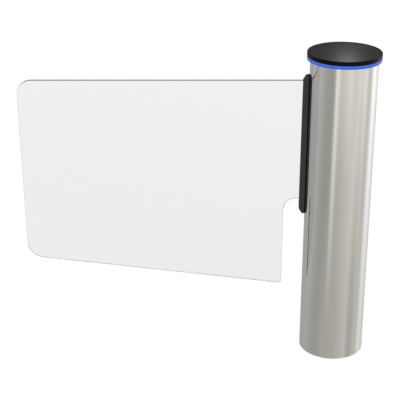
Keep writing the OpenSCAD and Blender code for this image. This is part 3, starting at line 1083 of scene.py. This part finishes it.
class TURNSTILE_OT_welds(bpy.types.Operator):
    """Lay the welds of the fixed column, of the head plate and of the bar behind the clamp"""

    bl_idname = "turnstile.welds"
    bl_label = "Welds"

    GUSSET_Y = 4.0 * MM
    WASHER = 9.0  # degrees to each side of an anchor that its washer needs
    STITCH, PITCH = 40 * MM, 128 * MM  # length and spacing of the welds along the bar
    SINK = 0.1 * MM  # how far the upright beads start inside the column's round face

    def execute(self, context):
        core = context.scene.turnstile_core
        metal = finish("weld_metal", weld_metal)
        leg, ripple = core.weld, core.ripple
        column = partial(ring_bead, COLUMN_R, leg=leg, ripple=ripple, outward=1)
        clear = math.degrees((self.GUSSET_Y + leg) / COLUMN_R)
        root = COLUMN_R - self.SINK
        quarter = [column(z=BASE_TOP, upward=1, start=clear, stop=45 - self.WASHER),
                   column(z=BASE_TOP, upward=1, start=45 + self.WASHER, stop=90 - clear)]
        for (x, low), (out, high), up in (
            ((COLUMN_R + leg, BASE_TOP), (GUSSET_R - leg, BASE_TOP), (0, 0, 1)),
            ((root, BASE_TOP + leg), (root, GUSSET_TOP - leg), (1, 0, 0)),
        ):
            for side in (-1, 1):
                y = side * self.GUSSET_Y
                quarter.append(line_bead((x, y, low), (out, y, high), (0, side, 0), up,
                                         0.75 * leg, ripple))
        fixed = joined(around(joined(*quarter), 0.0, 4), column(z=FLANGE_LOW, upward=-1))
        make_piece("column_welds", fixed, [metal], CORE, crease=60.0)

        x = -math.sqrt(BORE_R ** 2 - BAR_Y ** 2)
        stitches = [
            line_bead((x, side * BAR_Y, z), (x, side * BAR_Y, z + self.STITCH),
                      (0, side, 0), (1, 0, 0), 0.6 * leg, ripple)
            for side in (-1, 1)
            for z in np.arange(BAR_LOW + 2 * MM, BAR_HIGH - self.STITCH, self.PITCH)]
        turning = joined(*[ring_bead(BORE_R, z, -1, 1, 0.75 * leg, ripple)
                           for z in (PLATE_TOP, GUIDE_TOP)], *stitches)
        make_piece("tube_welds", turning, [metal], WING, crease=60.0)
        return {"FINISHED"}


def groove(radius, low, depth, width):
    """Corners of a groove in a round body, from its lower edge to its upper one."""
    high = low + width
    return [(radius, low), (radius - depth, low), (radius - depth, high), (radius, high)]


class TURNSTILE_OT_drive(bpy.types.Operator):
    """Make the motor, gearbox, bearings, their housing and the hub"""

    bl_idname = "turnstile.drive"
    bl_label = "Drive and bearings"

    def execute(self, context):
        core, sides = context.scene.turnstile_core, 128
        alloy = finish("turned_alloy", cast_alloy)
        dark = finish("motor_coat", powder_coat, (0.05, 0.055, 0.06), 0.36, 500.0)
        shaft = finish("shaft_steel", ground_steel, *SHAFT_STEEL)
        pair = joined(*[turned(self.bearing(low, low + BEARING_H), sides)
                        for low in (BEARING_LOW, BEARING_TOP - BEARING_H)])
        for name, surface, material, body, slot, node in (
            ("gearbox_body", turned(self.gearbox(), sides, False), alloy, CORE, "cast_alloy",
             "gearbox"),
            ("motor_body", self.motor(core.fins), dark, CORE, "motor_paint", "motor"),
            ("housing_body", turned(self.housing(), sides), alloy, CORE, "cast_alloy",
             "bearing_housing"),
            ("shaft_bearings", pair, shaft, CORE, "bearing_steel", "spindle_bearings"),
            ("hub_body", turned(self.hub(), sides), alloy, WING, "cast_alloy", "hub"),
        ):
            make_piece(name, surface, [material], body, [node])
        return {"FINISHED"}

    def gearbox(self):
        """Outline from the floor of the output bore, over the top flange, down a stepped
        body with two grooves, to the middle of the motor flange."""
        bore, bore_low, flange_low = SHAFT_R + 0.5 * MM, SHAFT_LOW - 6 * MM, FLANGE_LOW - 12 * MM
        r, neck, low = GEARBOX_R, GEARBOX_R - 5 * MM, GEARBOX_LOW
        body_low, body_top, foot_top = low + 50 * MM, low + 102 * MM, low + 12 * MM
        corners = [(bore, bore_low), (bore, FLANGE_LOW), (r, FLANGE_LOW), (r, flange_low),
                   (neck, flange_low), (neck, body_top), (r, body_top)]
        for up in (84 * MM, 68 * MM):
            corners += groove(r, low + up, 2 * MM, 2.5 * MM)[::-1]
        corners += [(r, body_low), (neck, body_low), (neck, foot_top), (r - MM, foot_top),
                    (r - MM, low)]
        line = rounded(corners, 0.8 * MM, steps=3, guard=0.1 * MM)[1:-1]
        return np.concatenate([[(0.0, bore_low)], line, [(0.0, low)]])

    def motor(self, fins):
        """A barrel of fins between a front flange and a rounded end bell. The fins' depth
        rises from nothing over the first and the last few millimetres of the barrel."""
        r, low, top = MOTOR_R, MOTOR_LOW, GEARBOX_LOW
        bell = arc((r - 10 * MM, low + 10 * MM), 8 * MM, -90, 0, 7)
        rim, flange, deep, shallow = 21 * MM, 21 * MM, 4.5 * MM, 2 * MM
        # Height and depth of the fins along the barrel.
        barrel = np.array([
            (low + rim, 0), (low + 25 * MM, shallow), (low + 30 * MM, deep),
            (top - 30 * MM, deep), (top - 25 * MM, shallow), (top - flange, 0)])
        before = np.concatenate([
            [(0, low), (r - 16 * MM, low), (r - 14 * MM, low + 2 * MM)], bell,
            [(r - 2 * MM, low + 18 * MM), (r, low + 19 * MM)]])
        after = [(r, top - 1.5 * MM), (r - MM, top), (0, top)]
        along = np.stack([np.full(len(barrel), r), barrel[:, 0]], -1)
        depth = np.concatenate([np.zeros(len(before)), barrel[:, 1], np.zeros(len(after))])
        return turned(np.concatenate([before, along, after]), fins * 12, False, fins=fins,
                      depth=depth)

    def housing(self):
        """Section of the bearing housing, with its inner shoulder and two outer grooves."""
        seat, shoulder, r = BEARING_R, BEARING_R - 5 * MM, HOUSING_R
        low, high = BEARING_LOW + BEARING_H, BEARING_TOP - BEARING_H
        corners = [(seat, HOUSING_LOW), (r, HOUSING_LOW),
                   *groove(r, HOUSING_LOW + 14 * MM, 1.5 * MM, 3 * MM),
                   *groove(r, HOUSING_TOP - 17 * MM, 1.5 * MM, 3 * MM),
                   (r, HOUSING_TOP), (seat, HOUSING_TOP),
                   (seat, high), (shoulder, high), (shoulder, low), (seat, low)]
        return rounded(corners, 0.6 * MM, steps=3, guard=0.1 * MM)

    def bearing(self, low, high):
        """Section of a shielded bearing: two races with the shields set back between them."""
        race, deep, big, small = 3.6 * MM, 0.8 * MM, 0.6 * MM, 0.15 * MM
        bore, inner, outer = SHAFT_R + 0.05 * MM, SHAFT_R + race, BEARING_R - race
        corners = [(bore, low), (inner, low), (inner, low + deep), (outer, low + deep),
                   (outer, low), (BEARING_R, low), (BEARING_R, high), (outer, high),
                   (outer, high - deep), (inner, high - deep), (inner, high), (bore, high)]
        return rounded(corners, [big, small, small, small, small, big] * 2, steps=3,
                       guard=0.05 * MM)

    def hub(self):
        """Section of the hub: a boss on the shaft under a flange against the head plate."""
        boss, edge, inside = SHAFT_R + 12.5 * MM, 1.5 * MM, 0.5 * MM
        return rounded([(SHAFT_R, HUB_LOW), (boss, HUB_LOW), (boss, HUB_FLANGE_LOW),
                        (HUB_R, HUB_FLANGE_LOW), (HUB_R, PLATE_LOW), (SHAFT_R, PLATE_LOW)],
                       [0.8 * MM, edge, 3 * MM, edge, inside, inside])


class TURNSTILE_OT_finishes(bpy.types.Operator):
    """Give the carried-over nodes of the solid model their finishes"""

    bl_idname = "turnstile.finishes"
    bl_label = "Finishes"

    def execute(self, context):
        for material, nodes in (
            (finish("primed_steel", primed_steel),
             ("base_plate", "base_gussets", "core_column", "guide_collar", "drive_flange",
              "head_plate", "lower_ring", "backing_bar")),
            (finish("turned_alloy", cast_alloy), ("cap_spacers",)),
            (finish("powder_coat", powder_coat, context.scene.turnstile_clamp.colour),
             ("light_carrier",)),
            (finish("shaft_steel", ground_steel, *SHAFT_STEEL), ("spindle",)),
            (finish("acetal", bush_plastic), ("guide_bush",)),
        ):
            for node in nodes:
                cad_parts[node].material_slots[0].material = material
        return {"FINISHED"}


OPERATORS = (
    TURNSTILE_OT_stage,
    TURNSTILE_OT_post_tube,
    TURNSTILE_OT_head,
    TURNSTILE_OT_clamp,
    TURNSTILE_OT_glass,
    TURNSTILE_OT_screws,
    TURNSTILE_OT_welds,
    TURNSTILE_OT_drive,
    TURNSTILE_OT_finishes,
)


class TURNSTILE_PT_pieces(bpy.types.Panel):
    """Lists the pieces of the turnstile"""

    bl_idname = "TURNSTILE_PT_pieces"
    bl_label = "Wing turnstile"
    bl_space_type = "VIEW_3D"
    bl_region_type = "UI"
    bl_category = "Turnstile"

    def draw(self, context):
        for operator in OPERATORS:
            self.layout.operator(operator.bl_idname)


SETTINGS = {
    "turnstile_stage": StageSettings,
    "turnstile_post": PostSettings,
    "turnstile_head": HeadSettings,
    "turnstile_wing": WingSettings,
    "turnstile_clamp": ClampSettings,
    "turnstile_core": CoreSettings,
}


def register():
    """Registers the settings, the operators and the panel."""
    for name, group in SETTINGS.items():
        bpy.utils.register_class(group)
        setattr(bpy.types.Scene, name, PointerProperty(type=group))
    for cls in (*OPERATORS, TURNSTILE_PT_pieces):
        bpy.utils.register_class(cls)


def unregister():
    """Takes them away again."""
    for cls in (TURNSTILE_PT_pieces, *reversed(OPERATORS)):
        bpy.utils.unregister_class(cls)
    for name, group in reversed(SETTINGS.items()):
        delattr(bpy.types.Scene, name)
        bpy.utils.unregister_class(group)


def main():
    """Builds everything in order."""
    register()
    for operator in OPERATORS:
        module, name = operator.bl_idname.split(".")
        getattr(getattr(bpy.ops, module), name)()


if __name__ == "__main__":
    main()
